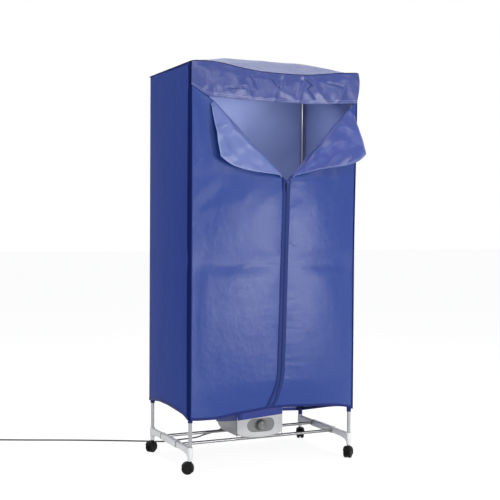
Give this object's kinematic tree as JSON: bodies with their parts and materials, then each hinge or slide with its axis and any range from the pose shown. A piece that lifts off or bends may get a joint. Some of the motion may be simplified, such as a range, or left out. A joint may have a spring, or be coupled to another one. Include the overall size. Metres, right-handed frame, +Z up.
{
  "type": "portable clothes dryer",
  "caption": "Wheeled tube frame under a zipped fabric cover, with a fan heater at the foot that blows warm air over hanging clothes.",
  "frame": {"origin": "on the floor, under the middle of the dryer without its cord", "axes": "+Z up, +X to the right as seen from the front, +Y to the back"},
  "size_m": [1.3003, 1.1172, 1.55],
  "materials": {
    "black_plastic": "fine satin",
    "blue_fabric": "coated woven cloth with a soft sheen",
    "chromed_steel": "polished",
    "dark_grey_plastic": "satin",
    "grey_plastic": "satin",
    "heater_ceramic": "matt",
    "navy_tape": "woven tape",
    "pale_plastic": "satin",
    "white_plastic": "smooth moulded",
    "zip_metal": "dark enamel"
  },
  "bodies": {
    "dryer": {"cord_coil": "black_plastic", "cord_lead": "black_plastic", "cord_strain_relief": "black_plastic", "corner_bracket_bl": "white_plastic", "corner_bracket_br": "white_plastic", "corner_bracket_fl": "white_plastic", "corner_bracket_fr": "white_plastic", "cover_back": "blue_fabric", "cover_floor": "navy_tape", "cover_front_left": "blue_fabric", "cover_front_right": "blue_fabric", "cover_header": "blue_fabric", "cover_left": "blue_fabric", "cover_right": "blue_fabric", "cover_top": "blue_fabric", "crossbar_front": "chromed_steel", "crossbar_rear": "chromed_steel", "dial_plate": "dark_grey_plastic", "fan_motor": "chromed_steel", "hanging_rail_front": "chromed_steel", "hanging_rail_rear": "chromed_steel", "heater_case_lower": "grey_plastic", "heater_case_upper": "grey_plastic", "heater_fascia": "pale_plastic", "heating_element": "heater_ceramic", "mains_plug": "black_plastic", "outlet_grille": "dark_grey_plastic", "pole_lower_bl": "chromed_steel", "pole_lower_br": "chromed_steel", "pole_lower_fl": "chromed_steel", "pole_lower_fr": "chromed_steel", "pole_upper_bl": "chromed_steel", "pole_upper_br": "chromed_steel", "pole_upper_fl": "chromed_steel", "pole_upper_fr": "chromed_steel", "side_beam_left": "white_plastic", "side_beam_right": "white_plastic", "timer_switch": "dark_grey_plastic", "top_connector_bl": "white_plastic", "top_connector_br": "white_plastic", "top_connector_fl": "white_plastic", "top_connector_fr": "white_plastic", "top_side_rail_left": "chromed_steel", "top_side_rail_right": "chromed_steel", "zip_tape_left": "navy_tape", "zip_tape_right": "navy_tape"},
    "caster_fl": {"caster_hood_fl": "black_plastic"},
    "wheels_fl": {"caster_wheels_fl": "black_plastic"},
    "caster_fr": {"caster_hood_fr": "black_plastic"},
    "wheels_fr": {"caster_wheels_fr": "black_plastic"},
    "caster_bl": {"caster_hood_bl": "black_plastic"},
    "wheels_bl": {"caster_wheels_bl": "black_plastic"},
    "caster_br": {"caster_hood_br": "black_plastic"},
    "wheels_br": {"caster_wheels_br": "black_plastic"},
    "timer_dial": {"timer_knob": "grey_plastic"},
    "fan": {"fan_impeller": "dark_grey_plastic"},
    "slider": {"zip_slider": "zip_metal"},
    "slider_pull": {"zip_pull": "zip_metal"},
    "door_corner_left": {"lapel_left": "blue_fabric"},
    "door_corner_right": {"lapel_right": "blue_fabric"}
  },
  "joints": [
    {"name": "caster_swivel_fl", "type": "hinge", "parent": "dryer", "child": "caster_fl", "pos_m": [-0.33215, -0.163, 0.048], "axis": [0, 0, 1], "continuous": true},
    {"name": "wheel_spin_fl", "type": "hinge", "parent": "caster_fl", "child": "wheels_fl", "pos_m": [-0.34031, -0.1592, 0.022], "axis": [-0.4226, -0.9063, 0], "continuous": true},
    {"name": "caster_swivel_fr", "type": "hinge", "parent": "dryer", "child": "caster_fr", "pos_m": [0.33985, -0.163, 0.048], "axis": [0, 0, 1], "continuous": true},
    {"name": "wheel_spin_fr", "type": "hinge", "parent": "caster_fr", "child": "wheels_fr", "pos_m": [0.33348, -0.16936, 0.022], "axis": [0.7071, -0.7071, 0], "continuous": true},
    {"name": "caster_swivel_bl", "type": "hinge", "parent": "dryer", "child": "caster_bl", "pos_m": [-0.33215, 0.239, 0.048], "axis": [0, 0, 1], "continuous": true},
    {"name": "wheel_spin_bl", "type": "hinge", "parent": "caster_bl", "child": "wheels_bl", "pos_m": [-0.33934, 0.23358, 0.022], "axis": [0.6018, -0.7986, 0], "continuous": true},
    {"name": "caster_swivel_br", "type": "hinge", "parent": "dryer", "child": "caster_br", "pos_m": [0.33985, 0.239, 0.048], "axis": [0, 0, 1], "continuous": true},
    {"name": "wheel_spin_br", "type": "hinge", "parent": "caster_br", "child": "wheels_br", "pos_m": [0.33604, 0.23084, 0.022], "axis": [0.9063, -0.4226, 0], "continuous": true},
    {"name": "timer_turn", "type": "hinge", "parent": "dryer", "child": "timer_dial", "pos_m": [0.00385, -0.0606, 0.13665], "axis": [0, 1, 0], "range_deg": [0, 300]},
    {"name": "fan_spin", "type": "hinge", "parent": "dryer", "child": "fan", "pos_m": [0.00385, 0.052, 0.11925], "axis": [0, 0, 1], "continuous": true},
    {"name": "zip_slide", "type": "slide", "parent": "dryer", "child": "slider", "axis": [0.0161, -0.0241, 0.9996], "range_m": [-0.715, 0]},
    {"name": "pull_swing", "type": "hinge", "parent": "slider", "child": "slider_pull", "pos_m": [0.02876, -0.22557, 1.0718], "axis": [0.9999, 0, -0.0161], "range_deg": [-150, 0]},
    {"name": "door_corner_fold_left", "type": "hinge", "parent": "dryer", "child": "door_corner_left", "pos_m": [-0.11415, -0.2021, 1.22], "axis": [-0.705, 0.0779, 0.705], "range_deg": [0, 135]},
    {"name": "door_corner_fold_right", "type": "hinge", "parent": "dryer", "child": "door_corner_right", "pos_m": [0.17185, -0.20008, 1.22], "axis": [-0.7044, -0.0878, -0.7044], "range_deg": [0, 135]}
  ]
}
